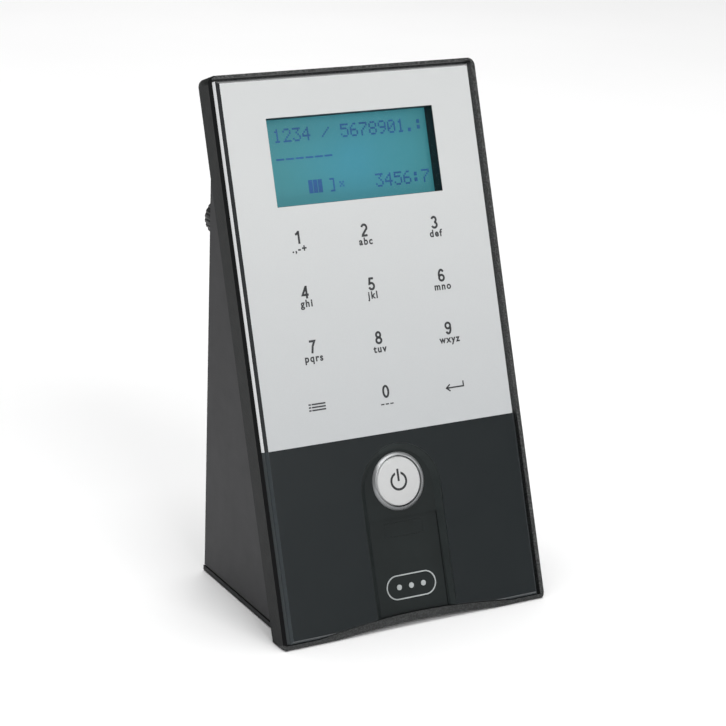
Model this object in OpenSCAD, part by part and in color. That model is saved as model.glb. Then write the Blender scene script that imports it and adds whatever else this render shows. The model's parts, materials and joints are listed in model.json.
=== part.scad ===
// Desk-top fingerprint and code terminal: a thin keypad unit with a clear, back-printed front plate,
// a display, touch keys, a power button and a finger channel, leaning back on a hollow wedge stand.
// Units are millimetres. +Z is up, the front looks towards -Y, and the origin is the middle of the
// footprint, on the surface that the terminal stands on.

/* [Keypad] */
// Backward tilt of the keypad from upright, degrees
tilt = 20; // [19:0.5:21]
// Width of the plate's flat front face
face_w = 90.7; // [89:0.1:91.5]
// Height of the plate's flat front face
face_h = 176; // [174:0.5:178]
// Height of the silver print's lower edge above the face's lower edge
split_v = 60; // [59.5:0.1:60.5]
// Thickness of the clear front plate
plate_t = 4; // [3.8:0.1:4]
// Chamfer round the plate's front
chamfer = 0.9; // [0.6:0.1:1]
// Width of the keypad housing
housing_w = 97.8; // [97.8:0.1:99]
// Depth of the housing's visible side wall behind the plate's front
side_d = 8; // [7.8:0.1:8.2]
// Depth of the housing's rear box behind the plate's front
box_d = 16; // [15.8:0.1:16.2]

/* [Display] */
// Width of the display window
window_w = 60.8; // [58:0.1:62]
// Height of the display window
window_h = 28.2; // [27:0.1:29]
// Sideways place of the window's middle
window_x = -0.5; // [-1:0.1:1]
// Height of the window's middle above the face's lower edge
window_v = 149.8; // [149.5:0.1:150]
// Depth of the display glass behind the plate's front
glass_d = 5; // [4.8:0.1:5.2]

/* [Finger channel and button] */
// Width of the finger channel
channel_w = 29.6; // [28:0.1:30]
// Depth of the channel's floor
channel_d = 1.7; // [1.5:0.1:2]
// Height of the middle of the channel's half-round top
arch_v = 41.6; // [41:0.1:42]
// Height of the button's axis above the face's lower edge
button_v = 44; // [43.5:0.1:44.5]
// Radius of the button cap
button_r = 8; // [7.8:0.1:8.1]
// Outer radius of the ring round the button
ring_r = 9.5; // [9.3:0.1:9.6]
// Travel of the button
button_travel = 0.6; // [0.4:0.1:0.8]
// Height of the ledge between the button field and the sensor field
ledge_v = 32.5; // [32:0.1:33]

/* [Stand] */
// Width of the stand
stand_w = 89.2; // [88:0.1:90]
// Distance from the plate's lower front edge to the stand's rear face
stand_d = 66.8; // [66.5:0.1:67]
// Wall thickness of the stand
wall = 2.2; // [2:0.1:2.4]
// Height of the stand's rear wall
seam_z = 140; // [139.5:0.1:140.5]
// Height of the plate's lower front edge above the table
face_z = 2.9; // [2.8:0.1:3]
// Height of the clamp knobs' axes
knob_z = 121; // [120:0.5:122]
// Distance of each knob's axis from the middle
knob_x = 35.6; // [35:0.1:36]
// Radius of a knob's head
knob_r = 7; // [6.5:0.1:7.5]

/* [Battery bay] */
// Width of the door's opening
door_w = 36; // [35:0.5:37]
// Height of the opening's lower edge
door_z0 = 9; // [9:0.5:10]
// Height of the opening
door_h = 58; // [58:0.5:59]
// Radius of an AA cell
cell_r = 7.1; // [7:0.05:7.2]

/* [Hidden] */
$fn = 96;
eps = 0.01;

// Keypad outline, as distances from the middle (x) and heights up the face (v)
plate_hw = face_w / 2 + chamfer;
plate_v0 = -chamfer;
plate_v1 = face_h + chamfer;
housing_hw = housing_w / 2;
housing_v0 = -3.1;
housing_v1 = face_h + 2.65;
rim_d = 0.7;
foot_gap = 0.3;
washer_t = 1;
head_t = 8.2;
// the lower front edge of the rim, where the level underside cuts it off
rim_low_y = (foot_gap - face_z) * tan(tilt) + rim_d / cos(tilt);
front_y = -(stand_d + washer_t + head_t + rim_low_y) / 2;
rim_side = 1.45;
pocket_hw = housing_hw - rim_side;
pocket_v0 = plate_v0 - 0.3;
pocket_v1 = plate_v1 + 0.8;
corner_r = 2.6;
arch_half = 36;
plate_arch = 2.6;
housing_arch = 1.9;

// Layers behind the plate
print_t = 0.2;
tape_t = 0.5;
shelf_d = plate_t + print_t + tape_t;
bay_hw = stand_w / 2 - wall - 2;
bay_v0 = 9.8;
bay_v1 = 168;
box_wall = 1.8;
box_fit = 0.2;
board_d = plate_t + print_t + 0.2;
board_t = 1.6;
board_rear = board_d + board_t;
board_hw = 39;
touch_v0 = 62;
touch_v1 = 130;
small_board_d = 11.2;
small_board_t = 1.4;
small_board_hw = 17;
glass_t = 1.6;
light_t = 1.8;
display_margin = 2.4;
key_pitch_x = 25.3;
key_pitch_v = 17.5;
key_row0_v = 73.5;
screw_r = 1.25;
screw_x = 35;
screw_v = [67, 126];

// Button and switch
cap_d = 1.2;
cap_t = 3;
stem_r = 1.6;
plunger_d = 6.2;
plunger_r = 1.5;
switch_d = 7.7;
plunger_end = switch_d + 1.4;
switch_w = 6;
free_gap = 0.35;
ring_front_d = 0.8;
ring_t = 4.2;

symbol_r = 3.1;
symbol_top = 4;
symbol_t = 0.12;

// Sensor
sensor_w = 14;
sensor_h = 4.4;
sensor_v = 28.6;
// the sensor field's floor, which the sensor's face is level with
sensor_d = channel_d + 0.35;

// Stand
stand_hw = stand_w / 2;
rear_y = front_y + stand_d;
rear_in = rear_y - wall;
base_t = 1.6;
base_top = foot_gap + base_t;
base_y0 = front_y + 8.6;
base_gap = 0.4;
foot_r = 5;
foot_t = 1.1;
boss_r = 3.6;
boss_x = 38;
boss_y = [front_y + 26, rear_in - 5];
boss_top = 12;
base_screw_r = 1.4;

// Knobs
insert_r = 3;
stud_r = 2;
run_fit = 0.05;
stud_len = 10;
knob_boss_r = 5.2;
knob_boss_y = 10.5;

// Door
door_hw = door_w / 2;
door_z1 = door_z0 + door_h;
door_gap = 0.3;
barrel_r = 1.6;
pin_r = 1;
hinge_y = rear_y - barrel_r;
hinge_z = door_z0 + barrel_r + 0.4;
lug_w = 6;
holder_hw = door_hw - 0.1;
holder_t = 1.2;
holder_z0 = door_z0 + 0.8;
holder_z1 = door_z1 - 0.6;
cell_x = cell_r + 0.6;
cell_y = rear_in - 1.1 - cell_r;
cell_len = 49;
// heights of the flat ends of the two cells, each of which a spring presses on
cell_z0 = holder_z0 + holder_t + 3.2;
cell_z1 = holder_z1 - holder_t - 3.2;
holder_y0 = cell_y - cell_r - 0.3 - holder_t;
tab_w = 8;

// The supply lead from the battery holder into the keypad: distance behind the plate's lower
// edge and height above the table
lead_x = 8;
lead_r = 1.2;
lead_v = 67.5;
lead_route = [[holder_y0 - front_y, 50], [45.5, 50.3], [43.6, 51.5], [42.4, 53.6], [41.6, 56],
              [40.6, 58.4], [39.2, 60.2], [37.2, 61.2], [35.35, 61.85]];

// Place of a point in the side view, from its depth behind the face and height up the face
function side_y(d, v) = front_y + v * sin(tilt) + d * cos(tilt);
function side_z(d, v) = face_z + v * cos(tilt) - d * sin(tilt);
function side(d, v) = [side_y(d, v), side_z(d, v)];
// Height up the face where the plane at depth d passes height z, or distance y
function v_at_z(d, z) = (z - face_z + d * sin(tilt)) / cos(tilt);
function v_at_y(d, y) = (y - front_y - d * cos(tilt)) / sin(tilt);
// Radius of an arc with the given rise over half its chord
function arc_r(half, rise) = (half * half + rise * rise) / (2 * rise);

// The keypad's own directions: x across, y into the keypad, z up the face
module keypad() {
    translate([0, front_y, face_z]) rotate([-tilt, 0, 0]) children();
}

// A flat outline (x, v) made into a layer between two depths
module layer(d0, d1) {
    translate([0, d1, 0]) rotate([90, 0, 0]) linear_extrude(d1 - d0) children();
}

// A side outline (y, z) made into a prism across the width
module across(half) {
    translate([-half, 0, 0]) rotate([90, 0, 90]) linear_extrude(2 * half) children();
}

module box_2d(hw, v0, v1) {
    translate([-hw, v0]) square([2 * hw, v1 - v0]);
}

module round_box_2d(hw, v0, v1, r) {
    box_2d(hw - r, v0, v1);
    box_2d(hw, v0 + r, v1 - r);
    for (x = [-hw + r, hw - r], v = [v0 + r, v1 - r]) translate([x, v]) circle(r);
}

// The shallow arch along a lower edge
module arch_2d(v0, rise) {
    r = arc_r(arch_half, rise);
    translate([0, v0 + rise - r]) circle(r, $fn = 360);
}

module plate_2d() {
    difference() {
        box_2d(plate_hw, plate_v0, plate_v1);
        arch_2d(plate_v0, plate_arch);
    }
}

// Outline of the finger channel: straight sides under a half-round top
module channel_2d(hw) {
    box_2d(hw, plate_v0 - 4, arch_v);
    translate([0, arch_v]) circle(hw);
}

module window_2d(grow) {
    translate([window_x, window_v])
        square([window_w + 2 * grow, window_h + 2 * grow], center = true);
}

module screw_hole_2d(r) {
    for (x = [-screw_x, screw_x], v = screw_v) translate([x, v]) circle(r);
}

// Rod along Y
module rod_y(r, y0, y1) {
    translate([0, y0, 0]) rotate([-90, 0, 0]) cylinder(r = r, h = y1 - y0);
}

// Rod along X
module rod_x(r, x0, x1) {
    translate([x0, 0, 0]) rotate([0, 90, 0]) cylinder(r = r, h = x1 - x0);
}

// ---------------------------------------------------------------- keypad unit

module box_outer() {
    low_top = seam_z - box_fit;
    box_rear = rear_in - box_fit;
    across(stand_hw - wall - box_fit) polygon([
        side(side_d - 1, bay_v0 - box_wall), side(box_d, bay_v0 - box_wall),
        side(box_d, v_at_y(box_d, box_rear)), [box_rear, low_top],
        [side_y(side_d - 1, v_at_z(side_d - 1, low_top)), low_top]
    ]);
    across(stand_hw) polygon([
        side(side_d - 1, v_at_z(side_d - 1, seam_z)), [rear_y, seam_z],
        [rear_y, side_z(side_d, v_at_y(side_d, rear_y))],
        side(side_d - 1, v_at_y(side_d, rear_y))
    ]);
}

module box_inner() {
    inner_d = box_d - box_wall;
    low_rear = rear_in - box_fit - box_wall;
    top_rear = rear_y - box_wall;
    step_z = seam_z + box_wall;
    across(bay_hw) polygon([
        side(rim_d, bay_v0), side(inner_d, bay_v0), side(inner_d, v_at_y(inner_d, low_rear)),
        [low_rear, step_z], [top_rear, step_z], [top_rear, side_z(side_d, bay_v1)],
        side(side_d, bay_v1), side(rim_d, bay_v1)
    ]);
}

// Bosses that the clamp knobs screw into
module knob_bosses() {
    for (x = [-knob_x, knob_x]) translate([x, 0, knob_z])
        rod_y(knob_boss_r, rear_in - knob_boss_y, rear_in - box_fit);
}

module housing() {
    color([0.15, 0.155, 0.155]) difference() {
        union() {
            keypad() layer(rim_d, side_d) difference() {
                round_box_2d(housing_hw, housing_v0, housing_v1, corner_r);
                arch_2d(housing_v0, housing_arch);
            }
            box_outer();
            knob_bosses();
        }
        keypad() layer(0, shelf_d) difference() {
            box_2d(pocket_hw, pocket_v0, pocket_v1);
            arch_2d(pocket_v0, plate_arch);
        }
        difference() {
            box_inner();
            // posts under the touch board
            keypad() layer(board_rear, box_d) screw_hole_2d(3);
            knob_bosses();
        }
        keypad() layer(board_rear, board_rear + 6) screw_hole_2d(screw_r);
        for (x = [-knob_x, knob_x]) translate([x, 0, knob_z])
            rod_y(insert_r + 0.02, rear_in - knob_boss_y + 0.5, rear_in + 1);
        // way in for the supply lead
        keypad() translate([lead_x, 0, lead_v]) rod_y(2.4, box_d - box_wall - 1, box_d + 1);
        // the underside is level with the table
        translate([-housing_w, front_y - 20, -20]) cube([2 * housing_w, 60, 20 + foot_gap]);
    }
}

module front_plate() {
    color([0.85, 0.87, 0.88, 0.5]) keypad() intersection() {
        layer(0, plate_t) difference() {
            plate_2d();
            channel_2d(channel_w / 2);
        }
        // side chamfers
        translate([0, 0, plate_v0 - 1]) linear_extrude(plate_v1 - plate_v0 + 2) polygon([
            [-plate_hw, chamfer], [-plate_hw + chamfer, 0], [plate_hw - chamfer, 0],
            [plate_hw, chamfer], [plate_hw, plate_t], [-plate_hw, plate_t]
        ]);
        // top and bottom chamfers
        across(plate_hw) polygon([
            [chamfer, plate_v0], [0, plate_v0 + chamfer], [0, plate_v1 - chamfer],
            [chamfer, plate_v1], [plate_t, plate_v1], [plate_t, plate_v0]
        ]);
    }
}

module silver_print() {
    color([0.83, 0.84, 0.85]) keypad() layer(plate_t, plate_t + print_t) difference() {
        box_2d(plate_hw - 0.3, split_v, plate_v1 - 0.3);
        window_2d(0);
    }
}

module dark_print() {
    color([0.15, 0.17, 0.17]) keypad() layer(plate_t, plate_t + print_t) difference() {
        intersection() {
            plate_2d();
            box_2d(plate_hw - 0.3, plate_v0, split_v);
        }
        channel_2d(channel_w / 2 + 0.2);
    }
}

module plate_tape() {
    color([0.1, 0.1, 0.1]) keypad() layer(plate_t + print_t, shelf_d) difference() {
        box_2d(plate_hw - 0.4, 3.4, plate_v1 - 0.4);
        box_2d(bay_hw + 0.2, bay_v0 - 0.2, bay_v1 + 0.2);
        channel_2d(channel_w / 2 + 2.6);
    }
}

module finger_guide() {
    fit = 0.1;
    floor_hw = channel_w / 2 - 2.2;
    color([0.16, 0.18, 0.18]) keypad() difference() {
        union() {
            layer(0.25, plate_t + print_t) intersection() {
                channel_2d(channel_w / 2 - fit);
                difference() {
                    box_2d(plate_hw, plate_v0, face_h);
                    arch_2d(plate_v0, plate_arch);
                }
            }
            // flange behind the plate
            layer(plate_t + print_t, shelf_d) intersection() {
                channel_2d(channel_w / 2 + 2.4);
                box_2d(plate_hw, 3.4, face_h);
            }
            // block in the bay that holds the ring and the sensor
            layer(shelf_d, shelf_d + 1.3) box_2d(channel_w / 2 + 2.4, bay_v0 + 0.2, 60);
        }
        // the trough, with sloping edges
        hull() {
            layer(0.1, 0.25) channel_2d(channel_w / 2 - 0.25, $fn = 96);
            layer(channel_d - 0.05, channel_d) channel_2d(floor_hw, $fn = 96);
        }
        // the sensor field lies a little lower than the button field
        layer(channel_d - 0.1, sensor_d) box_2d(floor_hw, plate_v0 - 4, ledge_v);
        layer(0, 10) translate([0, button_v]) circle(ring_r + 0.03);
        layer(0, 10) translate([0, sensor_v])
            square([sensor_w + 0.1, sensor_h + 0.1], center = true);
    }
}

module fingerprint_sensor() {
    color([0.1, 0.11, 0.12]) keypad() {
        layer(sensor_d, shelf_d + 1.3) translate([0, sensor_v])
            square([sensor_w, sensor_h], center = true);
    }
}

module sensor_flex() {
    color([0.55, 0.33, 0.12]) keypad() layer(shelf_d + 1.3, small_board_d)
        translate([0, sensor_v]) square([9, 0.3], center = true);
}

module sensor_board() {
    color([0.1, 0.3, 0.18]) keypad() layer(small_board_d, small_board_d + small_board_t)
        box_2d(small_board_hw, 14, 58);
}

module sensor_chip() {
    color([0.08, 0.08, 0.08]) keypad() {
        layer(small_board_d + small_board_t, small_board_d + small_board_t + 1.2)
            translate([0, 24]) square([10, 10], center = true);
    }
}

module display_frame() {
    color([0.05, 0.05, 0.06]) keypad() difference() {
        layer(plate_t + print_t, glass_d + glass_t + light_t - 0.3) window_2d(display_margin + 0.8);
        layer(0, 12) window_2d(0);
        layer(glass_d, 12) window_2d(display_margin);
    }
}

module display_glass() {
    color([0.28, 0.58, 0.62]) keypad() layer(glass_d, glass_d + glass_t)
        window_2d(display_margin - 0.1);
}

module backlight() {
    color([0.9, 0.92, 0.9]) keypad() layer(glass_d + glass_t, glass_d + glass_t + light_t)
        window_2d(display_margin - 0.1);
}

// Flat cable from the display's back down to the rear of the touch board
module display_flex() {
    top_v = window_v - window_h / 2 + 2;
    light_rear = glass_d + glass_t + light_t;
    color([0.55, 0.33, 0.12]) keypad() {
        layer(light_rear, light_rear + 0.3) box_2d(14, touch_v1 - 6.3, top_v);
        layer(board_rear, light_rear) box_2d(14, touch_v1 - 6.3, touch_v1 - 6);
    }
}

module touch_board() {
    color([0.1, 0.3, 0.18]) keypad() difference() {
        layer(board_d, board_rear) box_2d(board_hw, touch_v0, touch_v1);
        layer(0, 12) screw_hole_2d(screw_r + 0.15);
        for (x = [-screw_x, screw_x], v = screw_v) translate([x, board_d, v])
            rotate([-90, 0, 0]) cylinder(r1 = 2.6, r2 = screw_r + 0.15, h = 1.2);
    }
}

module touch_electrodes() {
    color([0.75, 0.45, 0.2]) keypad() layer(board_d - 0.1, board_d) {
        for (col = [-1:1], row = [0:3])
            translate([col * key_pitch_x, key_row0_v + row * key_pitch_v]) circle(5.5);
    }
}

module main_chip() {
    color([0.08, 0.08, 0.08]) keypad() layer(board_rear, board_rear + 1.4)
        translate([-14, 104]) square([12, 12], center = true);
}

module radio_module() {
    color([0.6, 0.62, 0.64]) keypad() {
        layer(board_rear, board_rear + 0.8) translate([20, 104]) square([16, 24], center = true);
        layer(board_rear + 0.8, board_rear + 2.6) translate([20, 101])
            square([13, 14], center = true);
    }
}

module buzzer() {
    color([0.07, 0.07, 0.07]) keypad() translate([-22, 0, 82]) difference() {
        rod_y(6, board_rear, board_rear + 3.5);
        rod_y(1, board_rear + 2, board_rear + 4);
    }
}

module lead_socket() {
    color([0.9, 0.9, 0.86]) keypad() difference() {
        translate([lead_x - 4, board_rear, 64.5]) cube([8, 4.5, 6]);
        translate([lead_x - 3.2, board_rear + 1.2, 65.3]) cube([6.4, 4, 4.4]);
    }
}

module lead_plug() {
    color([0.85, 0.85, 0.8]) keypad()
        translate([lead_x - 3, board_rear + 1.3, 65.5]) cube([6, 5.5, 4]);
}

module board_screws() {
    color([0.7, 0.7, 0.72]) keypad() for (x = [-screw_x, screw_x], v = screw_v)
        translate([x, board_d, v]) difference() {
            rotate([-90, 0, 0]) {
                cylinder(r1 = 2.5, r2 = screw_r - 0.05, h = 1.25);
                cylinder(r = screw_r - 0.05, h = 6);
            }
            for (turn = [0, 90]) rotate([0, turn, 0])
                translate([-1.4, -1, -0.2]) cube([2.8, 1.6, 0.4]);
        }
}

module board_ribbon() {
    color([0.8, 0.8, 0.78]) keypad() {
        layer(board_rear, small_board_d) translate([-6, 0]) box_2d(6, 63.4, 63.7);
        layer(small_board_d - 0.3, small_board_d) translate([-6, 0]) box_2d(6, 54, 63.4);
    }
}

module button_ring() {
    color([0.8, 0.81, 0.82]) keypad() translate([0, 0, button_v]) rotate([-90, 0, 0])
        rotate_extrude() polygon([
            [button_r + free_gap, ring_front_d], [button_r + free_gap + 0.35, ring_front_d],
            [ring_r, ring_front_d + 0.75], [ring_r, ring_front_d + ring_t],
            [button_r + free_gap, ring_front_d + ring_t]
        ]);
}

// On-off symbol: an open ring with a bar that stands up through its gap
module symbol_2d(grow = 0) {
    bar_w = 0.75;
    gap_w = 2;
    difference() {
        circle(symbol_r + grow);
        circle(symbol_r - bar_w - grow);
        translate([grow - gap_w / 2, 0]) square([gap_w - 2 * grow, 2 * symbol_r]);
    }
    translate([-bar_w / 2 - grow, -grow]) square([bar_w + 2 * grow, symbol_top + 2 * grow]);
}

module power_button() {
    color([0.86, 0.87, 0.88]) keypad() difference() {
        translate([0, 0, button_v]) rotate([-90, 0, 0]) rotate_extrude() polygon([
            [0, cap_d], [button_r - 0.3, cap_d], [button_r, cap_d + 0.3],
            [button_r, cap_d + cap_t], [stem_r, cap_d + cap_t],
            [stem_r, plunger_d], [0, plunger_d]
        ]);
        layer(cap_d - 1, cap_d + symbol_t) translate([0, button_v]) symbol_2d(0.01);
    }
}

// The symbol is inlaid in the cap, level with its face
module button_symbol() {
    color([0.2, 0.2, 0.22]) keypad() layer(cap_d, cap_d + symbol_t)
        translate([0, button_v]) symbol_2d();
}

module switch_plunger() {
    color([0.12, 0.12, 0.12]) keypad() translate([0, 0, button_v])
        rod_y(plunger_r, plunger_d, plunger_end);
}

module tact_switch() {
    color([0.3, 0.3, 0.32]) keypad() difference() {
        layer(switch_d, small_board_d) translate([0, button_v])
            square([switch_w, switch_w], center = true);
        translate([0, 0, button_v])
            rod_y(plunger_r + free_gap, switch_d - 1, plunger_end + button_travel + 0.4);
    }
}

module stadium_2d(w, h) {
    box_2d((w - h) / 2, -h / 2, h / 2);
    for (x = [-1, 1]) translate([x * (w - h) / 2, 0]) circle(h / 2);
}

// Plain mark in the sensor field: a round-ended outline round three dots, with no lettering
module badge() {
    w = 18.4;
    h = 8;
    line = 0.4;
    color([0.66, 0.68, 0.68]) keypad() layer(sensor_d - 0.15, sensor_d) translate([0, 10]) {
        difference() {
            stadium_2d(w, h);
            stadium_2d(w - 2 * line, h - 2 * line);
        }
        for (x = [-4.5, 0, 4.5]) translate([x, 0]) circle(0.9);
    }
}

// ---------------------------------------------------------------- stand

module stand_profile_2d() {
    polygon([
        side(side_d, v_at_z(side_d, base_top + base_gap)), [rear_y, base_top + base_gap],
        [rear_y, seam_z], side(side_d, v_at_z(side_d, seam_z))
    ]);
}

module stand_shell() {
    color([0.19, 0.195, 0.195]) difference() {
        union() {
            difference() {
                across(stand_hw) stand_profile_2d();
                translate([-stand_hw + wall, front_y - 10, -1])
                    cube([stand_w - 2 * wall, rear_in - front_y + 10, seam_z + 10]);
            }
            // bosses for the base screws
            for (x = [-boss_x, boss_x], y = boss_y) translate([x, y, base_top + base_gap])
                cylinder(r = boss_r, h = boss_top);
            for (side_x = [-1, 1], y = boss_y)
                translate([side_x * (boss_x + stand_hw) / 2 - (stand_hw - boss_x) / 2, y - 1,
                           base_top + base_gap])
                    cube([stand_hw - boss_x, 2, boss_top]);
            // lugs beside the door's hinge
            for (x = [-door_hw - lug_w, door_hw]) translate([x, rear_in - 1.7, hinge_z - 2.5])
                cube([lug_w, 1.7 + wall / 2, 5]);
            // pins that hold the battery holder
            for (x = [-1, 1]) translate([x * (holder_hw + tab_w / 2), 0, (door_z0 + door_z1) / 2])
                rod_y(1.5, rear_in - 2.6, rear_in + 0.5);
        }
        // door opening
        translate([-door_hw, rear_in - 1, door_z0]) cube([door_w, wall + 2, door_h]);
        // hinge pin holes
        translate([0, hinge_y, hinge_z]) rod_x(pin_r + 0.03, -door_hw - 5, door_hw + 5);
        for (x = [-boss_x, boss_x], y = boss_y) translate([x, y, 0])
            cylinder(r = base_screw_r + 0.02, h = base_top + 9);
        for (x = [-knob_x, knob_x]) translate([x, 0, knob_z])
            rod_y(stud_r + 0.4, rear_in - 1, rear_y + 1);
    }
}

module base_plate() {
    color([0.17, 0.175, 0.175]) difference() {
        translate([-stand_hw - 0.3, base_y0, foot_gap])
            cube([stand_w + 0.6, rear_y + 0.3 - base_y0, base_t]);
        for (x = [-boss_x, boss_x], y = boss_y) translate([x, y, 0]) {
            cylinder(r = base_screw_r + 0.15, h = 5);
            translate([0, 0, foot_gap - eps]) cylinder(r1 = 2.9, r2 = 1.5, h = 1.1);
        }
        for (x = [-28, 28], y = boss_y) translate([x, y, 0]) cylinder(r = foot_r + 0.1, h = foot_t);
    }
    // locating rib just inside the stand's walls
    color([0.17, 0.175, 0.175]) for (x = [-stand_hw + wall + 0.2, stand_hw - wall - 1.6])
        translate([x, boss_y[0] + 8, base_top]) cube([1.4, 20, 3]);
}

module base_screws() {
    color([0.5, 0.5, 0.52]) for (x = [-boss_x, boss_x], y = boss_y) translate([x, y, foot_gap]) {
        difference() {
            union() {
                cylinder(r1 = 2.7, r2 = base_screw_r - 0.05, h = 1.1);
                cylinder(r = base_screw_r - 0.05, h = 9);
            }
            for (turn = [0, 90]) rotate([0, 0, turn])
                translate([-1.5, -0.25, -1]) cube([3, 0.5, 1.6]);
        }
    }
}

module rubber_feet() {
    color([0.08, 0.08, 0.08]) for (x = [-28, 28], y = boss_y) translate([x, y, 0])
        rotate_extrude() polygon([[0, 0], [foot_r - 0.5, 0], [foot_r, 0.2], [foot_r, foot_t],
                                  [0, foot_t]]);
}

module battery_holder() {
    mid_z = (door_z0 + door_z1) / 2;
    color([0.1, 0.1, 0.1]) difference() {
        union() {
            translate([-holder_hw, holder_y0, holder_z0])
                cube([2 * holder_hw, rear_in - 1 - holder_y0, holder_z1 - holder_z0]);
            for (x = [-holder_hw - tab_w, holder_hw - 1]) translate([x, rear_in - 2, mid_z - 6])
                cube([tab_w + 1, 2, 12]);
        }
        translate([-holder_hw + holder_t, holder_y0 + holder_t, holder_z0 + holder_t])
            cube([2 * (holder_hw - holder_t), 30, holder_z1 - holder_z0 - 2 * holder_t]);
        for (x = [-1, 1]) translate([x * (holder_hw + tab_w / 2), 0, mid_z])
            rod_y(1.6, rear_in - 5, rear_in + 1);
        // room for the hinge barrel and its lugs
        translate([-door_hw - lug_w, rear_in - 2, door_z0]) cube([door_w + 2 * lug_w, 4, 5]);
        // way out for the lead
        translate([lead_x, 0, lead_route[0][1]]) rod_y(lead_r + 0.3, holder_y0 - 1, holder_y0 + 0.9);
    }
}

// One cell lies each way up, so that the two are in series
module batteries() {
    nub_r = 2.7;
    nub_h = 1.2;
    color([0.75, 0.6, 0.2]) for (way = [0, 1])
        translate([(way * 2 - 1) * cell_x, cell_y, way ? cell_z1 : cell_z0])
            mirror([0, 0, way]) {
                cylinder(r = cell_r, h = cell_len);
                cylinder(r = nub_r, h = cell_len + nub_h);
            }
}

// Points round a wire at each place of a path that stays in one plane or winds round Z
function ring_at(p, a, b, r, sides) =
    [for (i = [0:sides - 1]) p + r * (cos(360 * i / sides) * a + sin(360 * i / sides) * b)];
function tube_faces(rings, sides) = concat(
    [[for (i = [sides - 1:-1:0]) i]],
    [for (k = [0:rings - 2], i = [0:sides - 1])
        [k * sides + i, k * sides + (i + 1) % sides, (k + 1) * sides + (i + 1) % sides,
         (k + 1) * sides + i]],
    [[for (i = [0:sides - 1]) (rings - 1) * sides + i]]);
function unit(v) = v / norm(v);

// Conical contact spring that stands on z = 0, wound round Z
module coil_spring(r0, r1, height, turns, wire_r) {
    sides = 8;
    steps = turns * 14;
    pts = [for (k = [0:steps]) let (t = k / steps, a = 360 * turns * t, r = r0 + (r1 - r0) * t)
        each ring_at([r * cos(a), r * sin(a), wire_r + (height - 2 * wire_r) * t],
                     [cos(a), sin(a), 0], [0, 0, 1], wire_r, sides)];
    polyhedron(pts, [for (f = tube_faces(steps + 1, sides)) [for (i = [len(f) - 1:-1:0]) f[i]]]);
}

module battery_springs() {
    spring_h = 2.5;
    color([0.75, 0.76, 0.78]) {
        for (way = [0, 1])
            translate([(way * 2 - 1) * cell_x, cell_y,
                       way ? cell_z1 + spring_h + 0.05 : cell_z0 - spring_h - 0.05])
                mirror([0, 0, way]) coil_spring(4.5, 2.5, spring_h, 2.5, 0.3);
    }
}

module battery_contacts() {
    plate = 0.4;
    low_z = holder_z0 + holder_t;
    high_z = holder_z1 - holder_t - plate;
    color([0.75, 0.76, 0.78]) for (x = [-cell_x, cell_x], z = [low_z, high_z])
        translate([x - 5.5, cell_y - 5.5, z]) cube([11, 11, plate]);
}

module power_lead() {
    sides = 8;
    n = len(lead_route);
    world = [for (p = lead_route) [lead_x, front_y + p[0], p[1]]];
    pts = [for (k = [0:n - 1])
        let (t = unit(world[min(k + 1, n - 1)] - world[max(k - 1, 0)]))
        each ring_at(world[k], [1, 0, 0], cross([1, 0, 0], t), lead_r, sides)];
    color([0.5, 0.08, 0.08]) polyhedron(pts, tube_faces(n, sides));
}

module battery_door() {
    color([0.19, 0.195, 0.195]) difference() {
        union() {
            translate([-door_hw + door_gap, rear_in, hinge_z])
                cube([door_w - 2 * door_gap, wall, door_z1 - door_gap - hinge_z]);
            translate([0, hinge_y, hinge_z])
                rod_x(barrel_r, -door_hw + door_gap, door_hw - door_gap);
        }
        translate([0, hinge_y, hinge_z]) rod_x(pin_r + run_fit, -door_hw, door_hw);
        // finger scoop at the door's upper edge
        translate([0, rear_y + 3.2, door_z1 - 7]) rod_x(4.6, -8, 8);
    }
}

module hinge_pin() {
    color([0.7, 0.71, 0.73]) translate([0, hinge_y, hinge_z])
        rod_x(pin_r, -door_hw - 4.8, door_hw + 4.8);
}

module threaded_inserts() {
    color([0.8, 0.65, 0.3]) for (x = [-knob_x, knob_x]) translate([x, 0, knob_z]) difference() {
        rod_y(insert_r, rear_in - 9.5, rear_in - box_fit);
        rod_y(stud_r + run_fit, rear_in - 12, rear_in + 1);
    }
}

// Thumb screw: a ribbed head with a shallow dish in its face, a neck and a stud
module knob(x) {
    ribs = 24;
    color([0.12, 0.12, 0.125]) translate([x, rear_y + washer_t, knob_z]) difference() {
        union() {
            rod_y(stud_r, -washer_t - stud_len, 0);
            rod_y(4.2, 0, 2);
            rotate([-90, 0, 0]) translate([0, 0, 1.6]) rotate_extrude() polygon([
                [0, 0], [knob_r - 0.8, 0], [knob_r, 0.8], [knob_r, head_t - 2.6],
                [knob_r - 1, head_t - 1.6], [0, head_t - 1.6]
            ]);
        }
        rod_y(knob_r - 2, head_t - 0.8, head_t + 1);
        for (i = [0:ribs - 1]) rotate([0, 360 * i / ribs, 0]) translate([knob_r + 0.25, 0, 0])
            rod_y(0.6, 1, head_t + 1);
    }
}

module knob_left() {
    knob(-knob_x);
}

module knob_right() {
    knob(knob_x);
}

module knob_washers() {
    color([0.7, 0.71, 0.73]) for (x = [-knob_x, knob_x]) translate([x, 0, knob_z]) difference() {
        rod_y(5, rear_y, rear_y + washer_t - 0.1);
        rod_y(stud_r + 0.4, rear_y - 1, rear_y + 3);
    }
}

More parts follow.
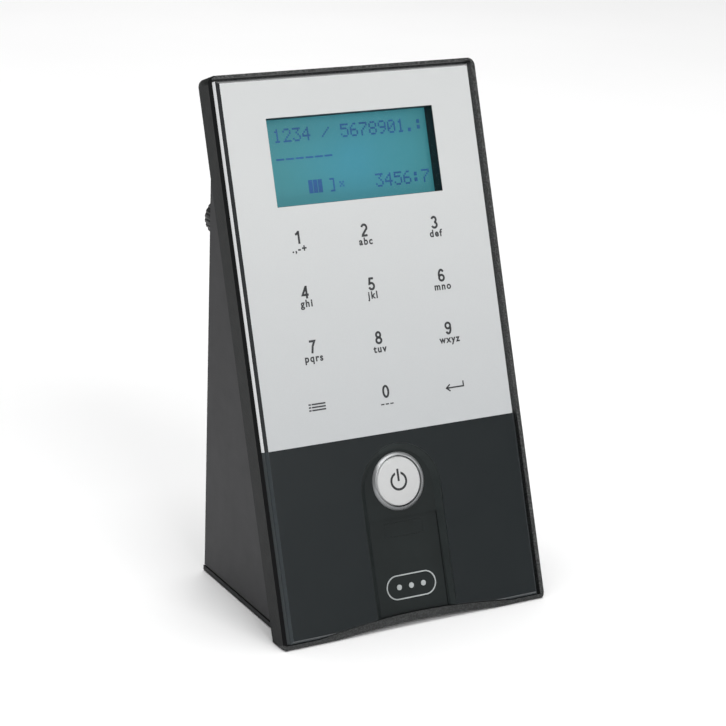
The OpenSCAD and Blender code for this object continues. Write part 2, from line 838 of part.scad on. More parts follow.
housing();
front_plate();
silver_print();
dark_print();
plate_tape();
finger_guide();
fingerprint_sensor();
sensor_flex();
sensor_board();
sensor_chip();
display_frame();
display_glass();
backlight();
display_flex();
touch_board();
touch_electrodes();
main_chip();
radio_module();
buzzer();
lead_socket();
lead_plug();
board_screws();
board_ribbon();
button_ring();
power_button();
button_symbol();
switch_plunger();
tact_switch();
badge();
stand_shell();
base_plate();
base_screws();
rubber_feet();
battery_holder();
batteries();
battery_springs();
battery_contacts();
power_lead();
battery_door();
hinge_pin();
threaded_inserts();
knob_left();
knob_right();
knob_washers();
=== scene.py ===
"""Looks of the desk-top fingerprint and code terminal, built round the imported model.

The keypad's own directions are x across, d into the keypad behind the plate's face, and v up the
face, all in millimetres. panel() turns them into a place in the row frame, in metres.
"""
import json
from math import atan2, cos, hypot, radians, sin

import bmesh
import bpy
from mathutils import Matrix, Vector


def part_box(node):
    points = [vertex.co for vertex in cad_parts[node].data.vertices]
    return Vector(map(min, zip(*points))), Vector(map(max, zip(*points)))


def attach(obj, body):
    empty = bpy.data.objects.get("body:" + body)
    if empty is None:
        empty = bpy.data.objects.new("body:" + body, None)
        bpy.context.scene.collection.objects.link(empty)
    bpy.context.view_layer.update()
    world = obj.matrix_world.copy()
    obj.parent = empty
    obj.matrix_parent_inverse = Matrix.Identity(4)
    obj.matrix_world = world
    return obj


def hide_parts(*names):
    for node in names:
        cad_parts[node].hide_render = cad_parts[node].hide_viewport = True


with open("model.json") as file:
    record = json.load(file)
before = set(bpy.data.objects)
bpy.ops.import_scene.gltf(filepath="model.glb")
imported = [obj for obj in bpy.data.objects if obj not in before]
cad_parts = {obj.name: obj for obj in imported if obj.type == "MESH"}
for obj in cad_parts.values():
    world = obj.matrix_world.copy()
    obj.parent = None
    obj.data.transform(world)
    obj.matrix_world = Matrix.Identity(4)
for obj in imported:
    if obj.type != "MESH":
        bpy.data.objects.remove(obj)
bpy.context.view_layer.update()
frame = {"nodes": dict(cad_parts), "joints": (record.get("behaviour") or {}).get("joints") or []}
NODES = frame["nodes"]
MM = 0.001

# Camera, at the height and angle that shows the front and the left side
CAM_AZIMUTH = radians(-29.929)
CAM_ELEVATION = radians(18.705)
CAM_ROLL = radians(2.267)
CAM_AIM = Vector((-4.936, -4.107, 79.223)) * MM
CAM_DISTANCE = 719.81 * MM
CAM_LENS = 110.4
CAM_SENSOR = 36.0

# Studio, metres: the floor, the soft boxes (name, place, side, power) and where they point
FLOOR_SIZE = 4
SOFT_BOXES = (("top_box", (0, 0.5, 2.4), 3.2, 86), ("front_box", (0.1, -1.3, 0.9), 0.9, 12))
LIGHT_AIM = (0, 0, 0.08)
# World's lowest strength, and what each direction adds: its axis, where the rise starts and ends
# along it, and the rise
WORLD_LOW = 0.32
WORLD_RISES = (("Z", 0.20, 0.34, 0.30), ("X", 0.48, 0.55, 0.45), ("Y", 0.0, 0.6, 0.30))

# Keypad, millimetres
PLATE_T = 4.0
PLATE_HW = 46.2
CHAMFER = 0.9
# Depth down the plate's sides to which the chamfer's colour runs: painted light for the clear edge's
# refraction, a painted dark line along the silver print and a painted highlight along the dark print
EDGE_LINE_D = 1.1
# Height at which the silver print ends and the dark print begins
SPLIT_V = 60.0
WINDOW_X = -0.5
WINDOW_V = 149.8
WINDOW_W = 60.8
WINDOW_H = 28.2
# Depth of the display's glass
GLASS_D = 5.0
INK_T = 0.02

# How far back the housing's rim reaches, and how far up its lower lip does
RIM_DEPTH = 6
LIP_V = 3
# Finger channel's slope: outer radius, its arch's middle, and where the side that gets painted light, a
# lighter copy of the guide's plastic, starts
SLOPE_R = 12.4
SLOPE_DEPTH = 1
ARCH_V = 41.6
ARCH_LEFT = -7

# Key legends: columns, the digits' baselines from the bottom row up, and the characters
KEY_X = (-25.2, -1.1, 25.1)
KEY_BASE = (71.25, 88.7, 106.15, 123.6)
DIGIT_H = 4.15
LETTER_H = 2.35
LETTER_DROP = 2.6
LETTER_BOLD = 0.036
LETTER_WIDEN = 0.95
LETTER_SPACING = 1.25
DASH_DROP = 2
# Height of a capital of the built-in font at size 1
FONT_CAPITAL = 0.73
SIGN_W = 0.48
SIGN_GAP = 0.95

# Display: its characters' cells and dots, and where its first character starts
CELL_W = 3.49
CELL_H = 5.7
DOT_W = 0.58
DOT_H = 0.63
TEXT_X = -26.7
TEXT_TOP = 160.8


# ---------------------------------------------------------------- frame of the keypad

def keypad_matrix():
    """Panel millimetres, as (x, d, v), to the row frame in metres."""
    axis = Vector(next(j for j in frame["joints"] if j["name"] == "power_press")["axis"])
    tilt = atan2(-axis.z, axis.y)
    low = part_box("front_plate")[0]
    face_z = low.z + (CHAMFER * cos(tilt) + PLATE_T * sin(tilt)) * MM
    turn = Matrix.Rotation(-tilt, 4, "X")
    return Matrix.Translation((0, low.y, face_z)) @ turn @ Matrix.Scale(MM, 4)


PANEL = keypad_matrix()
PANEL_INV = PANEL.inverted()


def panel(x, d, v):
    """A place in the row frame, in metres."""
    return PANEL @ Vector((x, d, v))


# ---------------------------------------------------------------- materials

MATERIALS = {}
# Size of the clouds in a plastic's colour and of the patches in its gloss, millimetres
CLOUD_MM = 14
GLOSS_MM = 5
# Heights between which painted shade runs, darkening the housing and the silver print towards their
# bottoms, millimetres
HOUSING_SHADE = (0, 160)
PRINT_SHADE = (50, 150)


def tone(red, green, blue):
    """Linear colour of an sRGB shade given as 0 to 255."""
    def linear(c):
        c /= 255
        return c / 12.92 if c <= 0.04045 else ((c + 0.055) / 1.055) ** 2.4
    return (linear(red), linear(green), linear(blue), 1.0)


def shader(name, **sockets):
    """A Principled material, kept in MATERIALS. Names of sockets have underscores for spaces."""
    mat = bpy.data.materials.new(name)
    mat.use_nodes = True
    for key, value in sockets.items():
        principled(mat).inputs[key.replace("_", " ")].default_value = value
    MATERIALS[name] = mat
    return mat


def principled(mat):
    return mat.node_tree.nodes["Principled BSDF"]


def node(owner, kind, **values):
    """A new node of a material or a world. Each value is for a socket, or else for a setting."""
    made = owner.node_tree.nodes.new(kind)
    for key, value in values.items():
        socket = key.replace("_", " ")
        if socket in made.inputs:
            made.inputs[socket].default_value = value
        else:
            setattr(made, key, value)
    return made


def join(owner, source, output, target, socket):
    owner.node_tree.links.new(source.outputs[output], target.inputs[socket])


def noise(mat, size_mm, detail=3.0, stretch=(1, 1, 1)):
    """Noise in the piece's own coordinates, with features of about that size."""
    coords = node(mat, "ShaderNodeTexCoord")
    mapping = node(mat, "ShaderNodeMapping", Scale=stretch)
    texture = node(mat, "ShaderNodeTexNoise", Scale=1 / (size_mm * MM), Detail=detail)
    join(mat, coords, "Object", mapping, "Vector")
    join(mat, mapping, "Vector", texture, "Vector")
    return texture


def spread(mat, source, colours, low=0.35, high=0.65):
    """Runs the source's value through a colour ramp into the base colour."""
    ramp = node(mat, "ShaderNodeValToRGB")
    for element, position, colour in zip(ramp.color_ramp.elements, (low, high), colours):
        element.position = position
        element.color = colour
    join(mat, source, 0, ramp, "Fac")
    join(mat, ramp, "Color", principled(mat), "Base Color")


def with_share(mat, source, share, target):
    """The target's value with a share of the source's added."""
    mix = node(mat, "ShaderNodeMath", operation="MULTIPLY_ADD")
    mix.inputs[1].default_value = share
    join(mat, source, 0, mix, 0)
    join(mat, target, "Result", mix, 2)
    return mix


def along_z(mat, heights, source):
    """A value that runs from 0 to 1 between two heights, with a little of the source mixed in."""
    coords = node(mat, "ShaderNodeTexCoord")
    split = node(mat, "ShaderNodeSeparateXYZ")
    rise = node(mat, "ShaderNodeMapRange", From_Min=heights[0] * MM, From_Max=heights[1] * MM)
    join(mat, coords, "Object", split, "Vector")
    join(mat, split, "Z", rise, "Value")
    return with_share(mat, source, 0.3, rise)


def rough_between(mat, source, low, high):
    rough = node(mat, "ShaderNodeMapRange", To_Min=low, To_Max=high)
    join(mat, source, 0, rough, "Value")
    join(mat, rough, "Result", principled(mat), "Roughness")


def bump(mat, source, depth_mm):
    made = node(mat, "ShaderNodeBump", Strength=1.0, Distance=depth_mm * MM)
    join(mat, source, 0, made, "Height")
    join(mat, made, "Normal", principled(mat), "Normal")


def shades(colour, amount):
    """The colour a little darker and a little lighter."""
    return [tuple(c * f for c in colour[:3]) + (1.0,) for f in (1 - amount, 1 + amount)]


def moulded(mat, rough, grain_mm, grain_depth):
    """Uneven gloss and a fine moulded grain."""
    rough_between(mat, noise(mat, GLOSS_MM), rough - 0.05, rough + 0.05)
    bump(mat, noise(mat, grain_mm, detail=2.0), grain_depth)


def plastic(name, colour, rough, grain_mm, grain_depth, cloud=0.12, **sockets):
    """Moulded plastic with a cloudy colour. The grain's size and depth are in millimetres."""
    mat = shader(name, **sockets)
    spread(mat, noise(mat, CLOUD_MM), shades(colour, cloud))
    moulded(mat, rough, grain_mm, grain_depth)


def plastic_with_painted_shade(name, low_colour, colour, heights, rough, grain_mm, grain_depth, **sockets):
    """Moulded plastic with painted shade: it runs from low_colour at the lower height to its own colour at
    the upper one, darker towards the bottom.
    """
    mat = shader(name, **sockets)
    height = along_z(mat, heights, noise(mat, CLOUD_MM))
    spread(mat, height, [low_colour, colour], 0.0, 1.0)
    moulded(mat, rough, grain_mm, grain_depth)


def grain_with_painted_glints(name, dark, light):
    """Coarse spark-eroded grain with painted glints: the grain's noise colours its crests pale and its
    pits dark.
    """
    mat = shader(name)
    grain = noise(mat, 0.5, detail=2.0)
    spread(mat, grain, [dark, light], 0.42, 0.66)
    rough_between(mat, grain, 0.4, 0.6)
    bump(mat, grain, 0.1)


def metal(name, colour, rough, stretch=(1, 1, 1)):
    """Metal with fine marks that run one way where stretch says so."""
    mat = shader(name, Metallic=1.0)
    marks = noise(mat, 0.4, stretch=stretch)
    spread(mat, noise(mat, 6), shades(colour, 0.08))
    rough_between(mat, marks, rough - 0.07, rough + 0.07)
    bump(mat, marks, 0.004)


def back_print(name, colour, low_colour=None):
    """Ink seen through the acrylic: fine flakes under a polished clear coat.

    With a low_colour it runs from that colour to its own over the print's height, as painted shade that
    darkens the print towards the bottom.
    """
    mat = shader(name, Coat_Weight=1.0, Coat_Roughness=0.03, Coat_IOR=1.49, Specular_IOR_Level=0.3)
    flakes = noise(mat, 0.35, detail=1.0)
    if low_colour:
        spread(mat, along_z(mat, PRINT_SHADE, flakes), [low_colour, colour], 0.0, 1.0)
    else:
        spread(mat, flakes, shades(colour, 0.025))
    rough_between(mat, noise(mat, 9), 0.36, 0.44)
    return mat


def edge_painted_glow(name, colour, strength):
    """The plate's polished side, with a painted glow: emission that stands in for the light the side
    carries from the print behind the plate.
    """
    mat = back_print(name, colour)
    principled(mat).inputs["Emission Color"].default_value = colour
    principled(mat).inputs["Emission Strength"].default_value = strength


def circuit_board():
    """Green solder mask with paler tracks on a square grid."""
    mat = shader("circuit_board", Coat_Weight=0.4, Coat_Roughness=0.2)
    pitch = 2.4 * MM
    mask = (0.012, 0.10, 0.045, 1)
    paler_mask = (0.015, 0.12, 0.05, 1)
    track = (0.03, 0.20, 0.09, 1)
    coords = node(mat, "ShaderNodeTexCoord")
    tracks = node(mat, "ShaderNodeTexBrick", Scale=1 / pitch, Color1=mask, Color2=paler_mask,
                  Mortar=track, Mortar_Size=0.06)
    join(mat, coords, "Object", tracks, "Vector")
    join(mat, tracks, "Color", principled(mat), "Base Color")
    rough_between(mat, noise(mat, 3), 0.3, 0.45)
    bump(mat, noise(mat, 0.8), 0.01)


def lit_display():
    """Back-lit teal display: bluer and brighter in the middle, with a faint grain of picture cells."""
    mat = shader("lit_display", Coat_Weight=0.5, Coat_Roughness=0.1, Roughness=0.3,
                 Emission_Color=(0.05, 0.3, 0.36, 1), Emission_Strength=0.36)
    brightest = panel(WINDOW_X + 2, GLASS_D, WINDOW_V)
    reach = 34 * MM
    coords = node(mat, "ShaderNodeTexCoord")
    shift = node(mat, "ShaderNodeVectorMath", operation="SUBTRACT")
    shift.inputs[1].default_value = brightest
    distance = node(mat, "ShaderNodeVectorMath", operation="LENGTH")
    far = node(mat, "ShaderNodeMapRange", From_Max=reach)
    join(mat, coords, "Object", shift, 0)
    join(mat, shift, "Vector", distance, 0)
    join(mat, distance, "Value", far, "Value")
    cloudy = with_share(mat, noise(mat, 16, detail=1.0), 0.5, far)
    spread(mat, cloudy, [tone(70, 148, 170), tone(70, 142, 150)], 0.3, 1.0)
    bump(mat, noise(mat, 0.5, detail=0.0), 0.003)


def clear_pane():
    """Clear acrylic over the display: almost no colour, only its gloss."""
    mat = shader("clear_pane", Alpha=0.1, Roughness=0.03, IOR=1.49)
    spread(mat, noise(mat, 20), [tone(30, 36, 38), tone(40, 46, 48)])


def cell_sleeve():
    """Printed sleeve of a dry cell: dark, copper-coloured at its plus end, one cell each way up."""
    mat = shader("cell_sleeve", Metallic=0.6, Coat_Weight=0.5, Coat_Roughness=0.15)
    low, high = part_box("batteries")
    half = (high.z - low.z) / 2
    coords = node(mat, "ShaderNodeTexCoord")
    split = node(mat, "ShaderNodeSeparateXYZ")
    height = node(mat, "ShaderNodeMath", operation="SUBTRACT")
    height.inputs[1].default_value = (low.z + high.z) / 2
    side = node(mat, "ShaderNodeMath", operation="SIGN")
    turned = node(mat, "ShaderNodeMath", operation="MULTIPLY")
    share = node(mat, "ShaderNodeMapRange", From_Min=half, From_Max=-half)
    ramp = node(mat, "ShaderNodeValToRGB")
    ramp.color_ramp.interpolation = "CONSTANT"
    ramp.color_ramp.elements[0].color = tone(40, 42, 44)
    ramp.color_ramp.elements[1].position = 0.66
    ramp.color_ramp.elements[1].color = tone(196, 128, 60)
    join(mat, coords, "Object", split, "Vector")
    join(mat, split, "Z", height, 0)
    join(mat, split, "X", side, 0)
    join(mat, height, "Value", turned, 0)
    join(mat, side, "Value", turned, 1)
    join(mat, turned, "Value", share, "Value")
    join(mat, share, "Result", ramp, "Fac")
    join(mat, ramp, "Color", principled(mat), "Base Color")
    rough_between(mat, noise(mat, 4), 0.25, 0.4)


def make_shell_materials():
    """Housing, stand, knobs, guide and feet."""
    # Painted shade: the housing darkens towards its bottom
    plastic_with_painted_shade("textured_abs", tone(18, 20, 21), tone(34, 36, 36), HOUSING_SHADE, 0.55, 0.6,
                   0.07, Specular_IOR_Level=0.2)
    # Painted glints: pale crests on the rim's and the lip's grain
    grain_with_painted_glints("rim_abs", tone(19, 20, 20), tone(82, 84, 84))
    grain_with_painted_glints("lip_abs", tone(24, 26, 26), tone(60, 62, 62))
    # Painted shade: a darker copy of the rim's plastic for the left rim
    plastic("rim_painted_shade", tone(12, 13, 14), 0.6, 0.8, 0.02, Specular_IOR_Level=0.1)
    plastic("smooth_abs", tone(54, 54, 56), 0.5, 0.3, 0.008, cloud=0.05, Specular_IOR_Level=0.2)
    plastic("base_abs", tone(34, 35, 35), 0.5, 0.3, 0.01, Specular_IOR_Level=0.2)
    plastic("guide_abs", tone(24, 30, 30), 0.55, 0.6, 0.003, Specular_IOR_Level=0.25)
    # Painted light: a lighter copy of the guide's plastic for the right of the channel's slope
    plastic("guide_painted_light", tone(35, 41, 41), 0.55, 0.6, 0.003, Specular_IOR_Level=0.25)
    plastic("knob_abs", tone(24, 25, 26), 0.45, 0.3, 0.015)
    plastic("rubber", tone(26, 26, 26), 0.85, 0.3, 0.03)


def make_plate_materials():
    """The two back prints, the plate's edges and sides, and the inks on its face."""
    # Painted shade: the silver print darkens towards its bottom
    back_print("silver_face", tone(214, 216, 216), low_colour=tone(194, 197, 199))
    back_print("dark_face", tone(26, 32, 34))
    # Painted light on the chamfer and the sides' front strip: dark along the silver print, a highlight
    # along the dark print
    back_print("plate_edge_painted_light", tone(54, 56, 58))
    back_print("plate_edge_painted_light_dark", tone(62, 68, 71))
    # Painted glow on the plate's sides
    edge_painted_glow("plate_side_painted_glow", tone(236, 238, 239), 0.8)
    edge_painted_glow("plate_side_painted_glow_dark", tone(96, 102, 104), 0.35)
    plastic("window_black", tone(6, 6, 12), 0.5, 0.4, 0.004)
    plastic("legend_ink", tone(46, 47, 50), 0.45, 0.3, 0.002, Coat_Weight=0.6)
    plastic("badge_ink", tone(172, 177, 177), 0.45, 0.4, 0.003)
    clear_pane()


def make_display_materials():
    lit_display()
    plastic("display_dots", tone(50, 112, 182), 0.4, 0.5, 0.002, Coat_Weight=0.4)
    plastic("frame_black", tone(20, 22, 25), 0.45, 0.4, 0.008)
    plastic("light_guide", tone(232, 236, 232), 0.3, 0.6, 0.003, cloud=0.03)


def make_button_materials():
    low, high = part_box("button_ring")
    ring = (low.z / MM, high.z / MM)
    plastic("button_silver", tone(222, 223, 223), 0.3, 0.2, 0.002, cloud=0.03, Metallic=0.25,
            Coat_Weight=0.5, Coat_Roughness=0.12)
    # Painted shade: the ring darkens towards its bottom
    plastic_with_painted_shade("ring_silver", tone(92, 94, 97), tone(190, 192, 193), ring, 0.34, 0.2, 0.002,
                   Metallic=0.6)
    plastic("symbol_ink", tone(44, 45, 48), 0.4, 0.3, 0.002)


def make_inner_materials():
    """Boards, chips, cells, wires and fasteners."""
    circuit_board()
    cell_sleeve()
    plastic("foam", tone(28, 28, 29), 0.9, 0.5, 0.05)
    plastic("polyimide", tone(168, 112, 40), 0.35, 0.8, 0.004, Coat_Weight=0.4)
    plastic("chip", tone(34, 34, 36), 0.55, 0.3, 0.01)
    plastic("nylon", tone(226, 222, 206), 0.45, 0.5, 0.006, cloud=0.04)
    plastic("holder_abs", tone(36, 36, 37), 0.5, 0.5, 0.015)
    plastic("lead_pvc", tone(140, 28, 26), 0.4, 0.6, 0.006)
    metal("copper", tone(214, 150, 98), 0.3)
    metal("tin_can", tone(196, 198, 200), 0.35, stretch=(1, 12, 1))
    metal("zinc_steel", tone(188, 190, 194), 0.3)
    metal("spring_steel", tone(206, 208, 210), 0.22)
    metal("brass", tone(206, 172, 96), 0.28)


# ---------------------------------------------------------------- dressing of the CAD nodes

# Points closer than this are one point, millimetres
WELD_MM = 0.002
# Edges that bend more than this are rounded
SHARP_ANGLE = radians(28)

NODE_MATERIAL = {
    "housing": "textured_abs", "silver_print": "silver_face", "dark_print": "dark_face",
    "plate_tape": "foam", "finger_guide": "guide_abs", "fingerprint_sensor": "guide_abs",
    "sensor_flex": "polyimide", "sensor_board": "circuit_board", "sensor_chip": "chip",
    "display_frame": "frame_black", "display_glass": "lit_display", "backlight": "light_guide",
    "display_flex": "polyimide", "touch_board": "circuit_board", "touch_electrodes": "copper",
    "main_chip": "chip", "radio_module": "tin_can", "buzzer": "chip", "lead_socket": "nylon",
    "lead_plug": "nylon", "board_screws": "zinc_steel", "board_ribbon": "nylon",
    "button_ring": "ring_silver", "power_button": "button_silver", "button_symbol": "symbol_ink",
    "switch_plunger": "chip", "tact_switch": "chip", "badge": "badge_ink",
    "stand_shell": "smooth_abs", "base_plate": "base_abs", "base_screws": "zinc_steel",
    "rubber_feet": "rubber", "battery_holder": "holder_abs", "batteries": "cell_sleeve",
    "battery_springs": "spring_steel", "battery_contacts": "spring_steel", "power_lead": "lead_pvc",
    "battery_door": "smooth_abs", "hinge_pin": "zinc_steel", "threaded_inserts": "brass",
    "knob_left": "knob_abs", "knob_right": "knob_abs", "knob_washers": "zinc_steel",
    "front_plate": "clear_pane",
}

# Edge rounding of the carried-over nodes, millimetres
NODE_BEVEL = {
    "housing": 0.35, "stand_shell": 0.4, "base_plate": 0.3, "battery_door": 0.3,
    "knob_left": 0.15, "knob_right": 0.15, "power_button": 0.12, "button_ring": 0.08,
    "battery_holder": 0.2, "rubber_feet": 0.15,
}


def dress_nodes():
    """Gives each CAD node its material, and rounds the edges of the larger ones."""
    for name, obj in NODES.items():
        obj.data.materials.clear()
        obj.data.materials.append(MATERIALS[NODE_MATERIAL[name]])
    for name, width in NODE_BEVEL.items():
        soften(NODES[name], width)
    # Grain with painted glints on the rim and the lip
    mark_faces("housing", "rim_abs", is_rim)
    mark_faces("housing", "lip_abs", is_lip)
    # Painted shade on the left rim
    mark_faces("housing", "rim_painted_shade", is_left_rim)
    mark_faces("finger_guide", "guide_painted_light", is_right_slope)


def is_rim(corners):
    """On the housing's front rim or the pocket's walls, above the lower lip."""
    return all(p.y < RIM_DEPTH for p in corners) and max(p.z for p in corners) > LIP_V


def is_lip(corners):
    """On the lower lip's front face and the pocket's lower wall."""
    return all(p.y < RIM_DEPTH and p.z <= LIP_V for p in corners)


# Faces that get the rim's painted shade
def is_left_rim(corners):
    return is_rim(corners) and all(p.x < -PLATE_HW for p in corners)


def is_right_slope(corners):
    """On the channel's slope, from the left of its arch round to the lower right end: faces that get
    painted light.
    """
    outside = all(hypot(p.x, max(p.z - ARCH_V, 0)) > SLOPE_R for p in corners)
    near_face = min(p.y for p in corners) < SLOPE_DEPTH
    return outside and near_face and min(p.x for p in corners) > ARCH_LEFT


def mark_faces(name, material, test):
    """Gives one more material to the faces whose corners, in panel millimetres, pass the test."""
    mesh = NODES[name].data
    mesh.materials.append(MATERIALS[material])
    slot = len(mesh.materials) - 1
    points = [PANEL_INV @ vertex.co for vertex in mesh.vertices]
    for face in mesh.polygons:
        if test([points[i] for i in face.vertices]):
            face.material_index = slot


def soften(obj, width_mm):
    """Rounds the edges of a piece, by modifiers only."""
    weld = obj.modifiers.new("weld", "WELD")
    weld.merge_threshold = WELD_MM * MM
    bevel = obj.modifiers.new("bevel", "BEVEL")
    bevel.width = width_mm * MM
    bevel.segments = 2
    bevel.limit_method = "ANGLE"
    bevel.angle_limit = SHARP_ANGLE
    bevel.use_clamp_overlap = True
    bevel.harden_normals = True


# ---------------------------------------------------------------- mesh helpers

def piece_from(bm, name, slot, *materials):
    """Makes an object of the bmesh, which is in panel millimetres, and lets it ride."""
    mesh = bpy.data.meshes.new(name)
    bm.transform(PANEL)
    bmesh.ops.recalc_face_normals(bm, faces=bm.faces)
    bm.to_mesh(mesh)
    bm.free()
    obj = bpy.data.objects.new(name, mesh)
    bpy.context.scene.collection.objects.link(obj)
    for material in materials:
        mesh.materials.append(MATERIALS[material])
    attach(obj, "terminal")
    return obj


def add_block(bm, x0, x1, d0, d1, v0, v1):
    """A closed block between the given planes."""
    size = Matrix.Diagonal((x1 - x0, d1 - d0, v1 - v0, 1))
    centre = Matrix.Translation(((x0 + x1) / 2, (d0 + d1) / 2, (v0 + v1) / 2))
    bmesh.ops.create_cube(bm, size=1, matrix=centre @ size)


def add_bar(bm, start, end, width):
    """A flat inked bar from start to end, which are (x, v)."""
    a = Vector(start)
    b = Vector(end)
    along = (b - a).normalized() * width / 2
    side = Vector((-along.y, along.x))
    corners = [a - along + side, b + along + side, b + along - side, a - along - side]
    low = [bm.verts.new((p.x, -INK_T, p.y)) for p in corners]
    high = [bm.verts.new((p.x, INK_T, p.y)) for p in corners]
    bm.faces.new(low)
    bm.faces.new(high)
    for i in range(4):
        bm.faces.new((low[i], low[i - 1], high[i - 1], high[i]))


# ---------------------------------------------------------------- the plate and its window

PLATE_MATERIALS = ("silver_face", "dark_face", "plate_edge_painted_light", "plate_edge_painted_light_dark", "plate_side_painted_glow",
                   "plate_side_painted_glow_dark", "window_black")
# Slack in telling what is inside the window, millimetres
WINDOW_SLACK = 0.02
# The plate's front and back faces look this squarely along d, and its chamfer at least this much
SQUARE_ON = 0.95
CHAMFER_ON = 0.3

def cut(bm, point, normal):
    geom = bm.verts[:] + bm.edges[:] + bm.faces[:]
    bmesh.ops.bisect_plane(bm, geom=geom, plane_co=point, plane_no=normal, dist=1e-5)


def inside_window(centre, margin):
    return (abs(centre.x - WINDOW_X) < WINDOW_W / 2 + margin
            and abs(centre.z - WINDOW_V) < WINDOW_H / 2 + margin)


def plate_material(face):
    """Name of the plate's material at a face, which is in panel millimetres."""
    centre = face.calc_center_median()
    facing = face.normal.y
    dark = "_dark" if centre.z < SPLIT_V else ""
    if facing < -SQUARE_ON or facing > SQUARE_ON:
        return "dark_face" if dark else "silver_face"
    if inside_window(centre, WINDOW_SLACK):
        return "window_black"
    # Painted light on the chamfer and the sides' front strip
    if facing < -CHAMFER_ON or centre.y < EDGE_LINE_D:
        return "plate_edge_painted_light" + dark
    # Painted glow on the rest of the sides
    return "plate_side_painted_glow" + dark


def open_window(bm):
    """Takes the window's field out of the plate's two faces and joins the two edges."""
    for way in (-1, 1):
        cut(bm, (WINDOW_X + way * WINDOW_W / 2, 0, 0), (1, 0, 0))
        cut(bm, (0, 0, WINDOW_V + way * WINDOW_H / 2), (0, 0, 1))
    gone = []
    for face in bm.faces:
        if inside_window(face.calc_center_median(), -WINDOW_SLACK) and abs(face.normal.y) > SQUARE_ON:
            gone.append(face)
    bmesh.ops.delete(bm, geom=gone, context="FACES")
    bmesh.ops.bridge_loops(bm, edges=[edge for edge in bm.edges if edge.is_boundary])
    bmesh.ops.recalc_face_normals(bm, faces=bm.faces)


def make_plate():
    """The printed acrylic plate, with the window left open for the pane and the display."""
    bm = bmesh.new()
    bm.from_mesh(NODES["front_plate"].data)
    bm.transform(PANEL_INV)
    bmesh.ops.remove_doubles(bm, verts=bm.verts, dist=WELD_MM)
    bmesh.ops.dissolve_limit(bm, angle_limit=radians(0.3), verts=bm.verts, edges=bm.edges)
    cut(bm, (0, 0, SPLIT_V), (0, 0, 1))
    cut(bm, (0, EDGE_LINE_D, 0), (0, 1, 0))
    open_window(bm)
    for face in bm.faces:
        face.material_index = PLATE_MATERIALS.index(plate_material(face))
    obj = piece_from(bm, "printed_plate", "clear_acrylic", *PLATE_MATERIALS)
    soften(obj, 0.1)
    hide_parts("front_plate")


def make_window_mask():
    """The black wall that lines the window from the plate's face back to the display."""
    wall = 0.08
    front = 0.15
    back = GLASS_D - 0.08
    hw = WINDOW_W / 2
    hh = WINDOW_H / 2
    bm = bmesh.new()
    for way in (-1, 1):
        x = WINDOW_X + way * (hw - wall / 2)
        add_block(bm, x - wall / 2, x + wall / 2, front, back, WINDOW_V - hh, WINDOW_V + hh)
        v = WINDOW_V + way * (hh - wall / 2)
        add_block(bm, WINDOW_X - hw + wall, WINDOW_X + hw - wall, front, back, v - wall / 2, v + wall / 2)
    piece_from(bm, "window_mask", "dark_ink", "window_black")


def make_window_pane():
    gap = 0.12
    front = 0.01
    back = 0.6
    hw = WINDOW_W / 2 - gap
    hh = WINDOW_H / 2 - gap
    bm = bmesh.new()
    add_block(bm, WINDOW_X - hw, WINDOW_X + hw, front, back, WINDOW_V - hh, WINDOW_V + hh)
    obj = piece_from(bm, "window_pane", "clear_acrylic", "clear_pane")
    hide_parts("front_plate")


# ---------------------------------------------------------------- display characters

# Five by seven dot patterns, top row first
DOTS = {
    "0": "01110 10001 10011 10101 11001 10001 01110",
    "1": "00100 01100 00100 00100 00100 00100 01110",
    "2": "01110 10001 00001 00010 00100 01000 11111",
    "3": "11111 00010 00100 00010 00001 10001 01110",
    "4": "00010 00110 01010 10010 11111 00010 00010",
    "5": "11111 10000 11110 00001 00001 10001 01110",
    "6": "00110 01000 10000 11110 10001 10001 01110",
    "7": "11111 00001 00010 00100 01000 01000 01000",
    "8": "01110 10001 10001 01110 10001 10001 01110",
    "9": "01110 10001 10001 01111 00001 00010 01100",
    "/": "00000 00001 00010 00100 01000 10000 00000",
    ":": "00000 01100 01100 00000 01100 01100 00000",
    ".": "00000 00000 00000 00000 00000 01100 01100",
    "]": "01110 00010 00010 00010 00010 00010 01110",
    "*": "00000 00000 01010 00100 01010 00000 00000",
    "_": "00000 00000 00000 00000 00000 00000 11111",
    " ": "00000 00000 00000 00000 00000 00000 00000",
}
DISPLAY_ROWS = ("1234 / 5678901.:", "______", "", "     ]*   3456:7")

# Battery gauge, millimetres: left edge, width and pitch of its bars, and its height in dots
GAUGE_ROW = 3
GAUGE_X = -16.4
GAUGE_W = 1.5
GAUGE_PITCH = 1.72
GAUGE_DOTS = 6.8


def make_display_dots():
    """Dot-matrix characters, digits and plain signs only, and a battery gauge."""
    bm = bmesh.new()
    front = GLASS_D - 0.05
    back = GLASS_D - 0.005
    fill = 0.94
    for row, text in enumerate(DISPLAY_ROWS):
        for column, sign in enumerate(text):
            for j, bits in enumerate(DOTS[sign].split()):
                for i, bit in enumerate(bits):
                    if bit == "1":
                        x = TEXT_X + column * CELL_W + i * DOT_W
                        v = TEXT_TOP - row * CELL_H - j * DOT_H
                        add_block(bm, x, x + DOT_W * fill, front, back, v - DOT_H * fill, v)
    top = TEXT_TOP - GAUGE_ROW * CELL_H
    for i in range(3):
        x = GAUGE_X + i * GAUGE_PITCH
        add_block(bm, x, x + GAUGE_W, front, back, top - GAUGE_DOTS * DOT_H, top)
    piece_from(bm, "display_characters", "display_teal", "display_dots")


# ---------------------------------------------------------------- key legends

def arc(x, v, rx, rv, start, end, steps=14):
    """Points on an ellipse from one angle to another, in degrees."""
    angles = [radians(start + (end - start) * i / steps) for i in range(steps + 1)]
    return [(x + rx * cos(a), v + rv * sin(a)) for a in angles]


def loop(x, v, rx, rv):
    return arc(x, v, rx, rv, 0, 360, 28)


